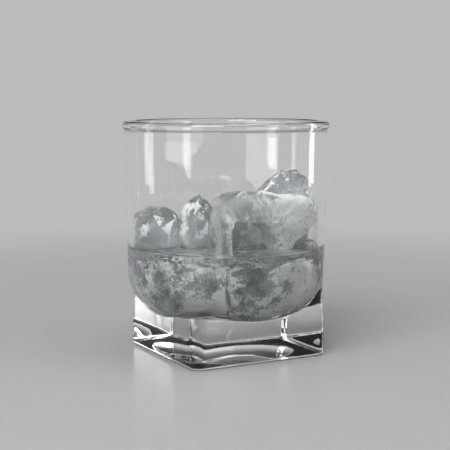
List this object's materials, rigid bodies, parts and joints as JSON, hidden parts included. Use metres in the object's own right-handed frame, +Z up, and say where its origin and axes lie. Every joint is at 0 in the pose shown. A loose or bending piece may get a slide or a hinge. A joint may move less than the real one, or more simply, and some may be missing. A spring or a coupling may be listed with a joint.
{
  "type": "whiskey tumbler with ice",
  "caption": "Pressed-glass whiskey tumbler with a round rim and a square heavy foot, holding bedded ice, loose ice lumps that lift out, and melt water.",
  "frame": {"origin": "centre of the square foot, on the surface the glass stands on", "axes": "+Z up the axis of the glass to the rim; X and Y square to the sides of the foot, with the bridge of ice along the -Y side"},
  "size_m": [0.082, 0.082, 0.092],
  "materials": {
    "glass": "fire-polished clear soda-lime glass",
    "water": "clear melt water",
    "ice_frosted": "cloudy ice, wet and melted at its edges",
    "ice_clear": "clear ice, wet and melted"
  },
  "bodies": {
    "tumbler": {"tumbler_glass": "glass", "melt_water": "water", "ice_bed_front_left": "ice_frosted", "ice_bed_back_left": "ice_frosted", "ice_bed_front_right": "ice_frosted", "ice_bed_tall": "ice_frosted", "ice_bed_chip": "ice_clear"},
    "ice_round": {"ice_round": "ice_clear"},
    "ice_pointed": {"ice_pointed": "ice_frosted"},
    "ice_bridge": {"ice_bridge": "ice_frosted"},
    "ice_clear": {"ice_clear": "ice_clear"}
  },
  "joints": [
    {"name": "ice_round_lift", "type": "slide", "parent": "tumbler", "child": "ice_round", "axis": [0, 0, 1], "range_m": [0, 0.06]},
    {"name": "ice_pointed_lift", "type": "slide", "parent": "tumbler", "child": "ice_pointed", "axis": [0, 0, 1], "range_m": [0, 0.06]},
    {"name": "ice_bridge_lift", "type": "slide", "parent": "tumbler", "child": "ice_bridge", "axis": [0, 0, 1], "range_m": [0, 0.06], "deforming": ["melt_water"]},
    {"name": "ice_clear_lift", "type": "slide", "parent": "tumbler", "child": "ice_clear", "axis": [0, 0, 1], "range_m": [0, 0.045]}
  ]
}
